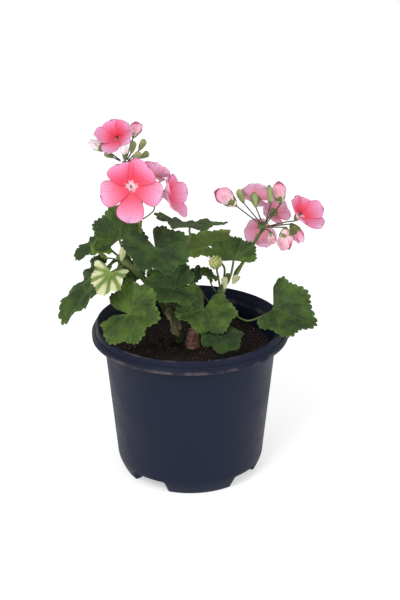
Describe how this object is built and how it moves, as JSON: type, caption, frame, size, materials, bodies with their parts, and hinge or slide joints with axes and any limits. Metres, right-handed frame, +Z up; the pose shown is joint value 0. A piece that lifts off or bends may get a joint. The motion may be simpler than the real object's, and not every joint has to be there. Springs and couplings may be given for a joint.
{
  "type": "potted geranium",
  "caption": "Zonal geranium with pink flower heads, buds and scalloped green leaves in a round dark blue nursery pot.",
  "frame": {"origin": "centre of the pot's base, on the surface it stands on", "axes": "+Z up along the pot axis, -Y towards the side with the large open flower, +X to the right seen from there"},
  "size_m": [0.2055, 0.1584, 0.291],
  "materials": {
    "pot": "matte",
    "soil": "matte",
    "bark": "matte",
    "stem": "matte",
    "bract": "matte",
    "leaf": "matte",
    "leaf_yellow_green": "matte",
    "leaf_variegated": "matte",
    "leaf_dried": "matte",
    "petal": "satin",
    "petal_pale": "satin",
    "bud": "matte"
  },
  "bodies": {
    "root": {"pot": "pot", "soil": "soil", "woody_stub": "bark", "left_shoot": "stem", "right_shoot": "stem", "peduncle_a": "stem", "peduncle_b": "stem", "peduncle_c": "stem", "leaf_upper_left": "leaf", "leaf_far_left": "leaf", "leaf_hanging_left": "leaf", "leaf_variegated": "leaf_variegated", "leaf_young_bright": "leaf_yellow_green", "leaf_centre_left": "leaf", "leaf_top": "leaf", "leaf_yellow_green": "leaf_yellow_green", "leaf_right_upper": "leaf", "leaf_centre": "leaf", "leaf_front_left": "leaf", "leaf_front_centre": "leaf", "leaf_front_low": "leaf", "leaf_over_rim": "leaf", "leaf_small_centre": "leaf", "leaf_behind_left": "leaf", "leaf_sliver": "leaf", "leaf_behind_centre": "leaf", "leaf_dried": "leaf_dried", "floret_a_top": "petal", "floret_b_large": "petal", "floret_b_back": "petal_pale", "floret_b_side": "petal", "floret_c_back": "petal", "floret_c_lower": "petal_pale", "floret_c_pale": "petal_pale", "floret_c_right": "petal", "bud_a_half_open": "petal", "bud_a_pale": "petal_pale", "bud_a_white": "petal_pale", "bud_a_1": "bud", "bud_a_2": "bud", "bud_a_3": "bud", "bud_a_4": "bud", "bud_a_5": "bud", "bud_c_left": "petal", "bud_c_1": "bud", "bud_c_2": "bud", "bud_c_top": "petal", "bud_c_slender": "bud", "bud_c_small": "petal", "bud_c_hanging": "petal", "bud_c_lilac": "petal_pale", "bud_cluster": "bud", "stipule_left": "bract", "stipule_right_1": "bract", "stipule_right_2": "bract"}
  },
  "joints": []
}
